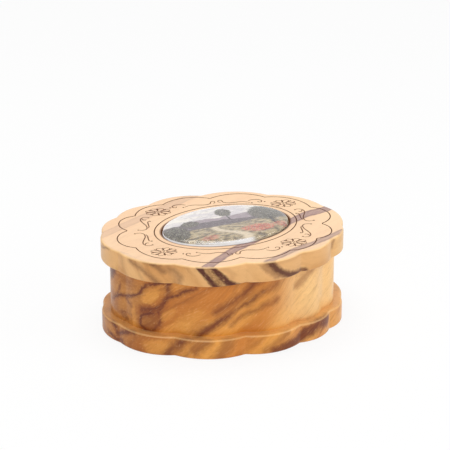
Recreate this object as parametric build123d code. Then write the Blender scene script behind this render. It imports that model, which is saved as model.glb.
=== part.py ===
from build123d import *
import math
import os

# An oval wooden keepsake box, in millimetres. +Z is up, +X runs along the box and +Y
# goes to the back, where the hinge is. The origin is under the middle of the foot.

# ---- driving dimensions ----

# Scalloped outline, shared by the foot and the lid: the notches lie on an ellipse.
NOTCH_LENGTH = 85.0
NOTCH_WIDTH = 61.0
NOTCH_ANGLES = (-13.2, 22, 57, 91, 120, 143.5)   # half of the turn; the other half repeats it
LOBE_RISE = 0.145                               # height of a lobe, as a share of its chord
NOTCH_RADIUS = 1.3                          # softening of the creases between lobes

# Body
FOOT_THICKNESS = 7.3
WALL_HEIGHT = 20.0
WALL_SETBACK = 3.1
WALL_THICKNESS = 4.8                        # at the notches, where the wall is thinnest
FLOOR_THICKNESS = 5.6
HOLLOW_CORNER = 2.5
FOOT_EDGE_RADIUS = 0.8
RIM_EDGE_RADIUS = 0.4

# Lid
LID_THICKNESS = 7.5
LID_TOP_RADIUS = 0.9
LID_BOTTOM_RADIUS = 0.5

# Oval picture set in the lid
PICTURE_SHIFT_X = 1.4
PICTURE_SHIFT_Y = 1.0
PICTURE_TURN = 10.0
PLAQUE_LENGTH = 46.0
PLAQUE_WIDTH = 31.1
PLAQUE_THICKNESS = 0.8
PLAQUE_CLEARANCE = 0.7
RECESS_DEPTH = 1.1
DOME_MARGIN = 0.15
DOME_HEIGHT = 2.6
DOME_EDGE = 0.7
DOME_SHOULDER_RISE = 1.2                    # how far up the rounding sets out from the edge
DOME_SHOULDER_REACH = 0.8                   # how far in it swings, as a share of the half width

# Engraved lines: a ring round the picture, and a scalloped border. The border's cusps are
# shares of the outline's half length and half width, for one half of the turn.
RING_GAP = 2.0
BORDER_SHIFT_X = 0.9
BORDER_SHIFT_Y = 0.3
BORDER_CUSPS = ((0.795, -0.162), (0.799, 0.333), (0.481, 0.754),
                (0.023, 0.866), (-0.398, 0.812), (-0.673, 0.562))
BORDER_RISES = (0.33, 0.19, 0.19, 0.19, 0.19, 0.33)
BORDER_CUSP_RADIUS = 0.5
GROOVE_WIDTH = 0.4
GROOVE_DEPTH = 0.3

# Butt hinge
HINGE_LENGTH = 18.0
HINGE_BEHIND_WALL = 0.4                     # pin axis, behind the wall's outermost face
KNUCKLE_RADIUS = 1.1
KNUCKLE_GAP = 0.15
LEAF_THICKNESS = 0.8
LEAF_REACH = 5.4                            # from the pin axis to the leaf's inner edge
LEAF_CORNER = 0.6
LEAF_FIT = 0.05
BARREL_CLEARANCE = 0.35
PIN_RADIUS = 0.5
PIN_RUNNING_FIT = 0.04
PIN_GRIP_FIT = 0.01
PIN_END_RADIUS = 0.2

# Countersunk screws of the hinge
SCREW_FROM_LEAF_END = 3.5
SCREW_INSET = 1.9                           # from the leaf's inner edge to the screw
SCREW_HEAD_RADIUS = 1.4
SCREW_SHANK_RADIUS = 0.75
SCREW_POINT = 1.2
SCREW_FIT = 0.04
SCREW_SINK = 0.06
BODY_SCREW_LENGTH = 7.0
LID_SCREW_LENGTH = 5.0
SLOT_WIDTH = 0.35
SLOT_DEPTH = 0.3

# Magnet catch at the front
MAGNET_RADIUS = 1.5
MAGNET_THICKNESS = 2.0
MAGNET_FIT = 0.04
MAGNET_SINK = 0.1
MAGNET_CHAMFER = 0.15

# ---- places that follow from them ----

RIM_Z = FOOT_THICKNESS + WALL_HEIGHT
LID_TOP_Z = RIM_Z + LID_THICKNESS
RECESS_Z = LID_TOP_Z - RECESS_DEPTH
PLAQUE_TOP_Z = RECESS_Z + PLAQUE_THICKNESS
HOLLOW_LENGTH = NOTCH_LENGTH - 2 * (WALL_SETBACK + WALL_THICKNESS)
HOLLOW_WIDTH = NOTCH_WIDTH - 2 * (WALL_SETBACK + WALL_THICKNESS)


def half_turned(points):
    """The points followed by the same ones turned by half a turn."""
    return points + [(-x, -y) for x, y in points]


def notch_points():
    """Points of the outline's notches, on an ellipse, in order round the box."""
    turns = [math.radians(a) for a in NOTCH_ANGLES]
    return half_turned([(NOTCH_LENGTH / 2 * math.cos(t), NOTCH_WIDTH / 2 * math.sin(t))
                        for t in turns])


def cusp_points():
    """Points of the engraved border's cusps, round the border's own middle."""
    return half_turned([(NOTCH_LENGTH / 2 * x, NOTCH_WIDTH / 2 * y) for x, y in BORDER_CUSPS])


def lobe_circles(points, rises):
    """Centre, radius and outward direction of the arc between each two notches."""
    lobes = []
    for start, end, rise in zip(points, points[1:] + points[:1], rises):
        chord = Vector(end) - Vector(start)
        height = rise * chord.length
        radius = (chord.length ** 2 / 4 + height ** 2) / (2 * height)
        outward = Vector(chord.Y, -chord.X).normalized()
        middle = (Vector(start) + Vector(end)) / 2
        lobes.append((middle - outward * (radius - height), radius, outward))
    return lobes


def outer_crossing(centre_a, radius_a, centre_b, radius_b):
    """Where two circles cross on the right of the way from the first to the second."""
    way = centre_b - centre_a
    along = (way.length ** 2 + radius_a ** 2 - radius_b ** 2) / (2 * way.length)
    across = math.sqrt(radius_a ** 2 - along ** 2)
    direction = way.normalized()
    return centre_a + direction * along + Vector(direction.Y, -direction.X) * across


def scalloped_face(points, rises, notch_radius, setback=0.0):
    """Flat face of tangent arcs: lobes between the notches, and softened creases.

    With a setback, every point of the edge lies that far inside the plain outline.
    """
    lobes = lobe_circles(points, rises)
    creases = []
    for (centre_a, radius_a, _), (centre_b, radius_b, _) in zip(lobes[-1:] + lobes[:-1], lobes):
        reach_a = radius_a + notch_radius
        reach_b = radius_b + notch_radius
        creases.append(outer_crossing(centre_a, reach_a, centre_b, reach_b))
    arcs = []
    for i, (centre, radius, outward) in enumerate(lobes):
        crease, next_crease = creases[i], creases[(i + 1) % len(lobes)]
        next_centre = lobes[(i + 1) % len(lobes)][0]
        lobe_radius = radius - setback
        start = centre + (crease - centre).normalized() * lobe_radius
        end = centre + (next_crease - centre).normalized() * lobe_radius
        arcs.append(ThreePointArc(start, centre + outward * lobe_radius, end))
        to_lobe = (centre - next_crease).normalized()
        to_next_lobe = (next_centre - next_crease).normalized()
        crease_radius = notch_radius + setback
        inward = (to_lobe + to_next_lobe).normalized()
        arcs.append(ThreePointArc(end, next_crease + inward * crease_radius,
                                  next_crease + to_next_lobe * crease_radius))
    return make_face(Curve() + arcs)


def outline_face(setback=0.0):
    points = notch_points()
    return scalloped_face(points, [LOBE_RISE] * len(points), NOTCH_RADIUS, setback)


def wall_face():
    return outline_face(WALL_SETBACK)


def border_face(setback=0.0):
    """Face inside the engraved border line."""
    face = scalloped_face(cusp_points(), 2 * BORDER_RISES, BORDER_CUSP_RADIUS, setback)
    return Pos(BORDER_SHIFT_X, BORDER_SHIFT_Y) * face


def oval(length, width):
    """Oval in the lid's plane, at the picture's place and turn."""
    return (Pos(PICTURE_SHIFT_X, PICTURE_SHIFT_Y) * Rot(0, 0, PICTURE_TURN)
            * Ellipse(length / 2, width / 2))


def edges_at(part, z):
    return part.edges().filter_by_position(Axis.Z, z - 0.001, z + 0.001)


def wall_back_y():
    """The wall's outermost face at the back."""
    return wall_face().bounding_box().max.Y


PIN_Y = wall_back_y() + HINGE_BEHIND_WALL
LEAF_INNER_Y = PIN_Y - LEAF_REACH
SCREW_Y = LEAF_INNER_Y + SCREW_INSET
MAGNET_Y = -(HOLLOW_WIDTH + WALL_THICKNESS) / 2
SCREW_XS = (-HINGE_LENGTH / 2 + SCREW_FROM_LEAF_END, HINGE_LENGTH / 2 - SCREW_FROM_LEAF_END)


def block(x_min, x_max, y_min, y_max, z_min, z_max):
    """A plain block between two corners."""
    size = Box(x_max - x_min, y_max - y_min, z_max - z_min)
    middle = ((x_min + x_max) / 2, (y_min + y_max) / 2, (z_min + z_max) / 2)
    return Pos(*middle) * size


def cylinder_up(radius, x, y, z_min, z_max):
    return Pos(x, y, (z_min + z_max) / 2) * Cylinder(radius, z_max - z_min)


def barrel(radius, x_min, x_max):
    """A round bar along the pin's axis."""
    bar = Rot(0, 90, 0) * Cylinder(radius, x_max - x_min)
    return Pos((x_min + x_max) / 2, PIN_Y, RIM_Z) * bar


# ---- wood ----

def hinge_seat(up):
    """What is cut from the rim (up = -1) or the lid (up = +1) for the hinge."""
    half = HINGE_LENGTH / 2 + LEAF_FIT
    back = NOTCH_WIDTH
    leaf_z = sorted((RIM_Z, RIM_Z + up * LEAF_THICKNESS))
    barrel_z = sorted((RIM_Z, RIM_Z + up * (KNUCKLE_RADIUS + BARREL_CLEARANCE)))
    leaf_seat = block(-half, half, LEAF_INNER_Y - LEAF_FIT, back, *leaf_z)
    barrel_seat = block(-half, half, PIN_Y - KNUCKLE_RADIUS - BARREL_CLEARANCE, back, *barrel_z)
    return leaf_seat + barrel_seat


def screw_bores(z_from, z_to):
    bores = Part()
    for x in SCREW_XS:
        bores += cylinder_up(SCREW_SHANK_RADIUS + SCREW_FIT, x, SCREW_Y, z_from, z_to)
    return bores


def make_base_block():
    """Foot, wall and hollow, carved from one block."""
    foot = extrude(outline_face(), FOOT_THICKNESS)
    foot = fillet(edges_at(foot, 0) + edges_at(foot, FOOT_THICKNESS), FOOT_EDGE_RADIUS)
    wall = Pos(0, 0, FOOT_THICKNESS) * extrude(wall_face(), WALL_HEIGHT)
    wall = fillet(edges_at(wall, RIM_Z), RIM_EDGE_RADIUS)
    hollow_depth = RIM_Z - FLOOR_THICKNESS
    hollow = extrude(Ellipse(HOLLOW_LENGTH / 2, HOLLOW_WIDTH / 2), hollow_depth)
    hollow = fillet(edges_at(hollow, 0), HOLLOW_CORNER)
    base = foot + wall - Pos(0, 0, FLOOR_THICKNESS) * hollow
    base -= hinge_seat(-1)
    screw_bottom = RIM_Z - SCREW_SINK - BODY_SCREW_LENGTH - SCREW_FIT
    base -= screw_bores(screw_bottom, RIM_Z)
    magnet_bottom = RIM_Z - MAGNET_SINK - MAGNET_THICKNESS
    base -= cylinder_up(MAGNET_RADIUS + MAGNET_FIT, 0, MAGNET_Y, magnet_bottom, RIM_Z)
    return base


def make_grooves():
    """The engraved ring round the picture and the scalloped border line."""
    ring_length = PLAQUE_LENGTH + 2 * (PLAQUE_CLEARANCE + RING_GAP)
    ring_width = PLAQUE_WIDTH + 2 * (PLAQUE_CLEARANCE + RING_GAP)
    ring = oval(ring_length + 2 * GROOVE_WIDTH, ring_width + 2 * GROOVE_WIDTH)
    ring -= oval(ring_length, ring_width)
    border = border_face() - border_face(GROOVE_WIDTH)
    return Pos(0, 0, LID_TOP_Z - GROOVE_DEPTH) * extrude(ring + border, GROOVE_DEPTH)


def make_lid_plate():
    """Scalloped plate with the picture's recess, the grooves and the hinge seat."""
    lid = Pos(0, 0, RIM_Z) * extrude(outline_face(), LID_THICKNESS)
    lid = fillet(edges_at(lid, LID_TOP_Z), LID_TOP_RADIUS)
    lid = fillet(edges_at(lid, RIM_Z), LID_BOTTOM_RADIUS)
    recess = oval(PLAQUE_LENGTH + 2 * PLAQUE_CLEARANCE, PLAQUE_WIDTH + 2 * PLAQUE_CLEARANCE)
    lid -= Pos(0, 0, RECESS_Z) * extrude(recess, RECESS_DEPTH)
    lid -= make_grooves()
    lid -= hinge_seat(1)
    lid -= screw_bores(RIM_Z, RIM_Z + SCREW_SINK + LID_SCREW_LENGTH + SCREW_FIT)
    magnet_top = RIM_Z + MAGNET_SINK + MAGNET_THICKNESS
    lid -= cylinder_up(MAGNET_RADIUS + MAGNET_FIT, 0, MAGNET_Y, RIM_Z, magnet_top)
    return lid


# ---- picture ----

def make_picture_plaque():
    return Pos(0, 0, RECESS_Z) * extrude(oval(PLAQUE_LENGTH, PLAQUE_WIDTH), PLAQUE_THICKNESS)


def make_resin_dome():
    """A clear cap that covers the plaque: a short upright edge, a round shoulder, a low crown."""
    half_length = PLAQUE_LENGTH / 2 - DOME_MARGIN
    half_width = PLAQUE_WIDTH / 2 - DOME_MARGIN
    crown = Bezier((1, DOME_EDGE), (1, DOME_EDGE + DOME_SHOULDER_RISE),
                   (DOME_SHOULDER_REACH, DOME_HEIGHT), (0, DOME_HEIGHT))
    sides = Polyline((0, DOME_HEIGHT), (0, 0), (1, 0), (1, DOME_EDGE))
    round_cap = revolve(Plane.XZ * make_face(crown + sides), Axis.Z)
    cap = scale(round_cap, by=(half_length, half_width, 1))
    return (Pos(PICTURE_SHIFT_X, PICTURE_SHIFT_Y, PLAQUE_TOP_Z) * Rot(0, 0, PICTURE_TURN)
            * cap)


# ---- hinge ----

def knuckle_spans():
    """Along the pin: the body's two outer knuckles, and the lid's one between them."""
    half = HINGE_LENGTH / 2
    third = HINGE_LENGTH / 3
    left = (-half, -half + third - KNUCKLE_GAP)
    middle = (-half + third, half - third)
    right = (half - third + KNUCKLE_GAP, half)
    return [left, right], [middle]


def screw_place(up, x):
    """Where a screw stands: up = -1 points it down from the rim, +1 up into the lid."""
    turn = Rot(180, 0, 0) if up > 0 else Rot(0, 0, 0)
    return Pos(x, SCREW_Y, RIM_Z) * turn


def screw_seat(up, x):
    """Countersunk hole through a leaf."""
    head = SCREW_HEAD_RADIUS + SCREW_FIT
    shank = SCREW_SHANK_RADIUS + SCREW_FIT
    cone_bottom = -SCREW_SINK - (head - shank)
    profile = Polyline((0, 0), (head, 0), (head, -SCREW_SINK), (shank, cone_bottom),
                       (shank, -2 * LEAF_THICKNESS), (0, -2 * LEAF_THICKNESS), close=True)
    return screw_place(up, x) * revolve(Plane.XZ * make_face(profile), Axis.Z)


def make_screw(up, x, length):
    """Countersunk slotted wood screw, its head just below the leaf's face."""
    top = -SCREW_SINK
    cone_bottom = top - (SCREW_HEAD_RADIUS - SCREW_SHANK_RADIUS)
    shank_bottom = top - length + SCREW_POINT
    profile = Polyline((0, top), (SCREW_HEAD_RADIUS, top), (SCREW_SHANK_RADIUS, cone_bottom),
                       (SCREW_SHANK_RADIUS, shank_bottom), (0, top - length), close=True)
    screw = revolve(Plane.XZ * make_face(profile), Axis.Z)
    slot = Box(2 * SCREW_HEAD_RADIUS, SLOT_WIDTH, 2 * SLOT_DEPTH)
    screw -= Pos(0, 0, top) * slot
    return screw_place(up, x) * screw


def make_leaf(up, own_spans, other_spans, bore_radius):
    """A plate below (up = -1) or above (+1) the rim plane, with its knuckles."""
    half = HINGE_LENGTH / 2
    leaf_z = sorted((RIM_Z, RIM_Z + up * LEAF_THICKNESS))
    leaf = block(-half, half, LEAF_INNER_Y, PIN_Y, *leaf_z)
    inner_corners = leaf.edges().filter_by(Axis.Z).group_by(Axis.Y)[0]
    leaf = fillet(inner_corners, LEAF_CORNER)
    room = KNUCKLE_RADIUS + BARREL_CLEARANCE
    for x_min, x_max in other_spans:
        leaf -= block(x_min - KNUCKLE_GAP, x_max + KNUCKLE_GAP, PIN_Y - room, PIN_Y, *leaf_z)
    for x_min, x_max in own_spans:
        leaf += barrel(KNUCKLE_RADIUS, x_min, x_max)
    leaf -= barrel(bore_radius, -HINGE_LENGTH, HINGE_LENGTH)
    for x in SCREW_XS:
        leaf -= screw_seat(up, x)
    return leaf


def make_pin():
    pin = barrel(PIN_RADIUS, -HINGE_LENGTH / 2, HINGE_LENGTH / 2)
    return fillet(pin.edges().filter_by(GeomType.CIRCLE), PIN_END_RADIUS)


# ---- catch ----

def make_magnet(z_min):
    magnet = cylinder_up(MAGNET_RADIUS, 0, MAGNET_Y, z_min, z_min + MAGNET_THICKNESS)
    return chamfer(magnet.edges().filter_by(GeomType.CIRCLE), MAGNET_CHAMFER)


def make_parts():
    body_spans, lid_spans = knuckle_spans()
    left, right = SCREW_XS
    return {
        "base_block": make_base_block(),
        "lid_plate": make_lid_plate(),
        "picture_plaque": make_picture_plaque(),
        "resin_dome": make_resin_dome(),
        "hinge_body_leaf": make_leaf(-1, body_spans, lid_spans, PIN_RADIUS + PIN_GRIP_FIT),
        "hinge_lid_leaf": make_leaf(1, lid_spans, body_spans, PIN_RADIUS + PIN_RUNNING_FIT),
        "hinge_pin": make_pin(),
        "body_screw_left": make_screw(-1, left, BODY_SCREW_LENGTH),
        "body_screw_right": make_screw(-1, right, BODY_SCREW_LENGTH),
        "lid_screw_left": make_screw(1, left, LID_SCREW_LENGTH),
        "lid_screw_right": make_screw(1, right, LID_SCREW_LENGTH),
        "body_magnet": make_magnet(RIM_Z - MAGNET_SINK - MAGNET_THICKNESS),
        "lid_magnet": make_magnet(RIM_Z + MAGNET_SINK),
    }


os.makedirs("parts", exist_ok=True)
for name, part in make_parts().items():
    export_step(part, f"parts/{name}.step")
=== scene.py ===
"""Looks of a small rosary box of figured olive wood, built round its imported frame.

The box is a scalloped foot with a fluted wall, and a hinged scalloped lid. The lid carries a
printed oval under a clear domed cap, and burnt line ornament: four rosettes and eight scrolls.
Lengths are in millimetres until a mesh is written, and a mesh is in metres.
"""

import logging
import math
from dataclasses import dataclass
from enum import Enum

import bmesh
import bpy
from mathutils import Matrix, Vector


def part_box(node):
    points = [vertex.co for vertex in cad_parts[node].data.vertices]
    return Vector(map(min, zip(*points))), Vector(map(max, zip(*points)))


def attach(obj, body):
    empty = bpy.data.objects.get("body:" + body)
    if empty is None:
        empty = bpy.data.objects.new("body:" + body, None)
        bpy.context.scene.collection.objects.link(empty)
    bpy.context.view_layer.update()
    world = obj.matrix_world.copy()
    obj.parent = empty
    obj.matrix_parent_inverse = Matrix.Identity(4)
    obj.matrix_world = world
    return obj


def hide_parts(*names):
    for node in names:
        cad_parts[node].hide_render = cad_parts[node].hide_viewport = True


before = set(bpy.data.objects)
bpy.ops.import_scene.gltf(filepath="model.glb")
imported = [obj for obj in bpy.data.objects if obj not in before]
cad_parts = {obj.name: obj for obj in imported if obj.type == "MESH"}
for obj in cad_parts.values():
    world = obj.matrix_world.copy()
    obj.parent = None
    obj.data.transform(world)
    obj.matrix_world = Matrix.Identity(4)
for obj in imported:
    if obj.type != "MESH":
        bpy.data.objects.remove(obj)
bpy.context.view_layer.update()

MM = 0.001
PER_METRE = 1000.0
log = logging.getLogger("rosary_box")

Colour = tuple[float, float, float, float]
Point = tuple[float, float]
Triple = tuple[float, float, float]

WHITE: Colour = (1.0, 1.0, 1.0, 1.0)

# The scalloped outline's half length and half width, and the picture's recess in the lid: its
# middle in mm, and its turn in degrees.
OUTLINE_HALF: Point = (43.2, 32.0)
RECESS_MIDDLE: Point = (1.4, 1.0)
RECESS_TURN = 10.0


class Body(Enum):
    """The two bodies of the box that pieces ride on."""

    BOX = "box_body"
    LID = "lid"


def srgb(red: int, green: int, blue: int) -> Colour:
    """Turn a screen colour into the linear one that a shader takes.

    Args:
        red: Red from 0 to 255.
        green: Green from 0 to 255.
        blue: Blue from 0 to 255.

    Returns:
        Linear red, green and blue, with an alpha of 1.
    """
    def linear(level: int) -> float:
        """Undo the screen's curve for one channel."""
        share = level / 255
        return share / 12.92 if share <= 0.04045 else ((share + 0.055) / 1.055) ** 2.4
    return linear(red), linear(green), linear(blue), 1.0


def level_axes(turn: float) -> tuple[Triple, Triple]:
    """Level directions along and across a thing that is turned by so many degrees."""
    way = math.radians(turn)
    return (math.cos(way), math.sin(way), 0.0), (-math.sin(way), math.cos(way), 0.0)


def placed(name: str, data: bpy.types.ID) -> bpy.types.Object:
    """Put a mesh, lamp or camera into the scene as an unturned object at the origin."""
    made = bpy.data.objects.new(name, data)
    bpy.context.scene.collection.objects.link(made)
    return made


class Signal:
    """A node's output socket that takes part in Python arithmetic."""

    def __init__(self, graph: "Graph", socket: bpy.types.NodeSocket) -> None:
        """Keep the graph that new nodes go to, and the socket itself."""
        self.graph = graph
        self.socket = socket

    def __add__(self, other: "Operand") -> "Signal":
        """Add a number or a signal."""
        return self.graph.maths("ADD", self, other)

    def __sub__(self, other: "Operand") -> "Signal":
        """Take away a number or a signal."""
        return self.graph.maths("SUBTRACT", self, other)

    def __rsub__(self, other: float) -> "Signal":
        """Take this signal from a number."""
        return self.graph.maths("SUBTRACT", other, self)

    def __mul__(self, other: "Operand") -> "Signal":
        """Multiply by a number or a signal."""
        return self.graph.maths("MULTIPLY", self, other)

    def __truediv__(self, other: "Operand") -> "Signal":
        """Divide by a number or a signal."""
        return self.graph.maths("DIVIDE", self, other)

    def __pow__(self, other: float) -> "Signal":
        """Raise to a power."""
        return self.graph.maths("POWER", self, other)

    def __abs__(self) -> "Signal":
        """Drop the sign."""
        return self.graph.maths("ABSOLUTE", self)

    __radd__ = __add__
    __rmul__ = __mul__


Operand = Signal | float


class Graph:
    """Builds the nodes of a shader or geometry tree from Python expressions."""

    def __init__(self, tree: bpy.types.NodeTree) -> None:
        """Start from an existing tree.

        Args:
            tree: The tree that the nodes are added to.
        """
        self.tree = tree

    def node(self, kind: str, settings: dict | None = None, inputs: dict | None = None,
             output: int | str = 0) -> Signal:
        """Add any node.

        Args:
            kind: The node's type name.
            settings: The node's own properties, set first.
            inputs: Values or signals, keyed by the socket's name or number.
            output: Name or number of the output that is wanted.

        Returns:
            The chosen output.
        """
        made = self.tree.nodes.new(kind)
        for name, value in (settings or {}).items():
            setattr(made, name, value)
        for key, value in (inputs or {}).items():
            if isinstance(value, Signal):
                self.tree.links.new(value.socket, made.inputs[key])
            else:
                made.inputs[key].default_value = value
        return Signal(self, made.outputs[output])

    def maths(self, operation: str, *values: Operand) -> Signal:
        """Add a Math node on one, two or three values."""
        return self.node("ShaderNodeMath", {"operation": operation}, dict(enumerate(values)))

    def vector(self, operation: str, *values: "Signal | Triple", output: int = 0) -> Signal:
        """Add a Vector Math node on one or two vectors."""
        return self.node("ShaderNodeVectorMath", {"operation": operation},
                         dict(enumerate(values)), output)

    def scaled(self, value: Signal, factor: Operand) -> Signal:
        """Scale a vector by a number."""
        return self.node("ShaderNodeVectorMath", {"operation": "SCALE"}, {0: value, 3: factor})

    def dot(self, value: Signal, direction: Triple) -> Signal:
        """Length of a vector along a direction."""
        return self.vector("DOT_PRODUCT", value, direction, output=1)

    def combine(self, x: Operand, y: Operand, z: Operand) -> Signal:
        """Make a vector of three numbers."""
        return self.node("ShaderNodeCombineXYZ", {}, {0: x, 1: y, 2: z})

    def smooth(self, value: Signal, low: float, high: float) -> Signal:
        """Rise smoothly from 0 at low to 1 at high, or fall where low is the larger."""
        return self.node("ShaderNodeMapRange", {"interpolation_type": "SMOOTHSTEP"},
                         {0: value, 1: low, 2: high, 3: 0.0, 4: 1.0})

    def noise(self, place: Signal, scale: float = 1.0, detail: float = 2.0,
              roughness: float = 0.5, stretch: Triple | None = None, output: int = 0) -> Signal:
        """Fractal noise, about 0 to 1, or as a colour for output 1.

        Args:
            place: Where it is read.
            scale: How fine it is.
            detail: How many finer layers it has.
            roughness: How strong these are.
            stretch: Factors on the place, which draw the noise out or squeeze it.
            output: 0 for a number, 1 for a colour.

        Returns:
            The noise.
        """
        if stretch:
            place = self.vector("MULTIPLY", place, stretch)
        return self.node("ShaderNodeTexNoise", {"noise_dimensions": "3D"},
                         {"Vector": place, "Scale": scale, "Detail": detail,
                          "Roughness": roughness}, output)

    def sway(self, place: Signal, reach: float, *texture: float) -> Signal:
        """Noise of the given texture as a shift every way, by about half of reach at most."""
        bend = self.vector("SUBTRACT", self.noise(place, *texture, output=1), (0.5, 0.5, 0.5))
        return self.scaled(bend, reach)

    def blend(self, factor: Operand, under: "Signal | Colour", over: "Signal | Colour") -> Signal:
        """Lay one colour over another."""
        return self.node("ShaderNodeMix", {"data_type": "RGBA", "clamp_factor": True},
                         {0: factor, 6: under, 7: over}, 2)

    def layered(self, colour: "Signal | Colour",
                *coats: "tuple[Operand, Signal | Colour]") -> Signal:
        """Lay coats of colour over one another.

        Args:
            colour: The ground.
            coats: Each coat's mask and colour, from the lowest up.

        Returns:
            The colour that is seen.
        """
        for mask, coat in coats:
            colour = self.blend(mask, colour, coat)
        return colour


class Paint(Graph):
    """A material in the making, with places read in millimetres of the box's own frame."""

    def __init__(self, name: str) -> None:
        """Make an empty material.

        Args:
            name: The material's name.
        """
        self.material = bpy.data.materials.new(name)
        self.material.use_nodes = True
        super().__init__(self.material.node_tree)
        self.tree.nodes.clear()

    def place(self) -> Signal:
        """Place on the piece, in millimetres."""
        spot = self.node("ShaderNodeTexCoord", output="Object")
        return self.scaled(spot, PER_METRE)

    def axis(self, place: Signal, name: str) -> Signal:
        """One coordinate of a place, by the name X, Y or Z."""
        return self.node("ShaderNodeSeparateXYZ", {}, {0: place}, name)

    def relief(self, height: Signal, depth_mm: float) -> Signal:
        """Normal of a surface that is raised by depth_mm where height is 1."""
        return self.node("ShaderNodeBump", {}, {"Strength": 1.0, "Distance": depth_mm * MM,
                                                "Height": height})

    def finish(self, inputs: dict) -> bpy.types.Material:
        """Close the material with one surface shader.

        Args:
            inputs: Values or signals of the surface shader, keyed by socket name.

        Returns:
            The finished material.
        """
        return self.close(self.node("ShaderNodeBsdfPrincipled", {}, inputs))

    def close(self, shader: Signal) -> bpy.types.Material:
        """Send a shader to the material's output."""
        output = self.tree.nodes.new("ShaderNodeOutputMaterial")
        self.tree.links.new(shader.socket, output.inputs["Surface"])
        return self.material


class Recipe(Graph):
    """A geometry tree in the making, which turns one mesh into another."""

    def __init__(self, name: str, inputs: dict[str, float]) -> None:
        """Make a tree with a geometry input and the named numbers.

        Args:
            name: The tree's name.
            inputs: Values by name. A whole number makes a whole-number input.
        """
        super().__init__(bpy.data.node_groups.new(name, "GeometryNodeTree"))
        face = self.tree.interface
        face.new_socket("Geometry", in_out="INPUT", socket_type="NodeSocketGeometry")
        face.new_socket("Geometry", in_out="OUTPUT", socket_type="NodeSocketGeometry")
        for label, value in inputs.items():
            kind = "NodeSocketInt" if isinstance(value, int) else "NodeSocketFloat"
            face.new_socket(label, in_out="INPUT", socket_type=kind).default_value = value
        self.entrance = self.tree.nodes.new("NodeGroupInput")

    def given(self, label: str) -> Signal:
        """One of the tree's own inputs."""
        return Signal(self, self.entrance.outputs[label])

    def join(self, *parts: Signal) -> Signal:
        """Gather several geometries into one."""
        node = self.tree.nodes.new("GeometryNodeJoinGeometry")
        for part in parts:
            self.tree.links.new(part.socket, node.inputs[0])
        return Signal(self, node.outputs[0])

    def wheel(self, geometry: Signal, copies: Operand, start: Operand = 0.0) -> Signal:
        """Set copies of a geometry at even turns about the upright axis.

        Args:
            geometry: What is copied.
            copies: How many there are.
            start: The first copy's turn, as a share of the step between two.

        Returns:
            The copies, as instances.
        """
        points = self.node("GeometryNodePoints", {}, {"Count": copies})
        index = self.node("GeometryNodeInputIndex")
        turn = (index + start) * math.tau / copies
        return self.node("GeometryNodeInstanceOnPoints", {}, {
            "Points": points, "Instance": geometry, "Rotation": self.combine(0.0, 0.0, turn)})

    def graver(self, curve: Signal, radius: Operand, fade: float) -> Signal:
        """Sweep the graver's square section, corner down, along a curve.

        Args:
            curve: The curve that it follows.
            radius: Half of the cut's width.
            fade: How much of the radius is lost at both ends of the curve.

        Returns:
            The swept solid.
        """
        upright = self.node("GeometryNodeSetCurveNormal", {"mode": "Z_UP"}, {"Curve": curve})
        section = self.node("GeometryNodeCurvePrimitiveCircle", {"mode": "RADIUS"},
                            {"Resolution": 4, "Radius": 1.0})
        along = self.node("GeometryNodeSplineParameter", output="Factor")
        swell = self.maths("SINE", along * math.pi) ** 0.5 * fade + (1.0 - fade)
        return self.node("GeometryNodeCurveToMesh", {}, {
            "Curve": upright, "Profile Curve": section, "Scale": swell * radius,
            "Fill Caps": True})

    def finish(self, geometry: Signal, material: bpy.types.Material) -> None:
        """Close the tree: make the instances real and give them their material."""
        real = self.node("GeometryNodeRealizeInstances", {}, {"Geometry": geometry})
        dressed = self.node("GeometryNodeSetMaterial", {},
                            {"Geometry": real, "Material": material})
        end = self.tree.nodes.new("NodeGroupOutput")
        self.tree.links.new(dressed.socket, end.inputs[0])

    def grow(self, source: bpy.types.Mesh) -> bpy.types.Mesh:
        """Run the tree on a mesh, and take the plain mesh that comes out."""
        carrier = placed(source.name, source)
        carrier.modifiers.new(self.tree.name, "NODES").node_group = self.tree
        return evaluated_mesh(carrier)


def evaluated_mesh(carrier: bpy.types.Object) -> bpy.types.Mesh:
    """Take the mesh that an object's modifiers make, and remove the object."""
    graph = bpy.context.evaluated_depsgraph_get()
    mesh = bpy.data.meshes.new_from_object(carrier.evaluated_get(graph))
    bpy.data.objects.remove(carrier)
    return mesh


# ---- wood ----

@dataclass(frozen=True)
class Mottle:
    """A mask of patches, made from noise that counts as 0 up to low and as 1 from high on."""

    scale: float
    low: float
    high: float
    detail: float = 2.0
    roughness: float = 0.5
    stretch: Triple | None = None

    def mask(self, paint: Paint, place: Signal) -> Signal:
        """The mask at a place."""
        noise = paint.noise(place, self.scale, self.detail, self.roughness, self.stretch)
        return paint.smooth(noise, self.low, self.high)


# Spans in mm that lie under the box, to the left of it and past it, for what a wood lacks.
UNDER: Point = (-20.0, -10.0)
LEFT: Point = (-500.0, -400.0)
PAST: Point = (400.0, 500.0)


@dataclass(frozen=True)
class Streak:
    """A dark band that follows one growth layer right through the wood, in mm.

    Its middle lies at offset along the layer's normal, and its rims are darker than its heart.
    Each swing gives where the band starts and ends to leave its plane, along X, and how far.
    """

    normal: Triple
    offset: float
    half_width: float
    rim_width: float = 1.3
    heart_strength: float = 0.0
    rim_strength: float = 0.0
    top_strength: float = 0.75
    top_half_width: float | None = None
    top_shift: float = 0.0
    swings: tuple[Triple, ...] = ()
    end: float = PAST[1]
    fade: float = 3.0


@dataclass(frozen=True)
class Vein:
    """A dark line with a soft halo, which wanders through the wood past its points, in mm."""

    points: tuple[Triple, ...]
    half_width: float
    strength: float
    halo_width: float
    halo_strength: float


def veins(*rows: "tuple[float | Triple, ...]") -> tuple[Vein, ...]:
    """Make veins from a table.

    Args:
        rows: Each vein's half width, strength, halo's width and halo's strength, and then its
            points.

    Returns:
        The veins.
    """
    return tuple(Vein(row[4:], *row[:4]) for row in rows)


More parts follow.
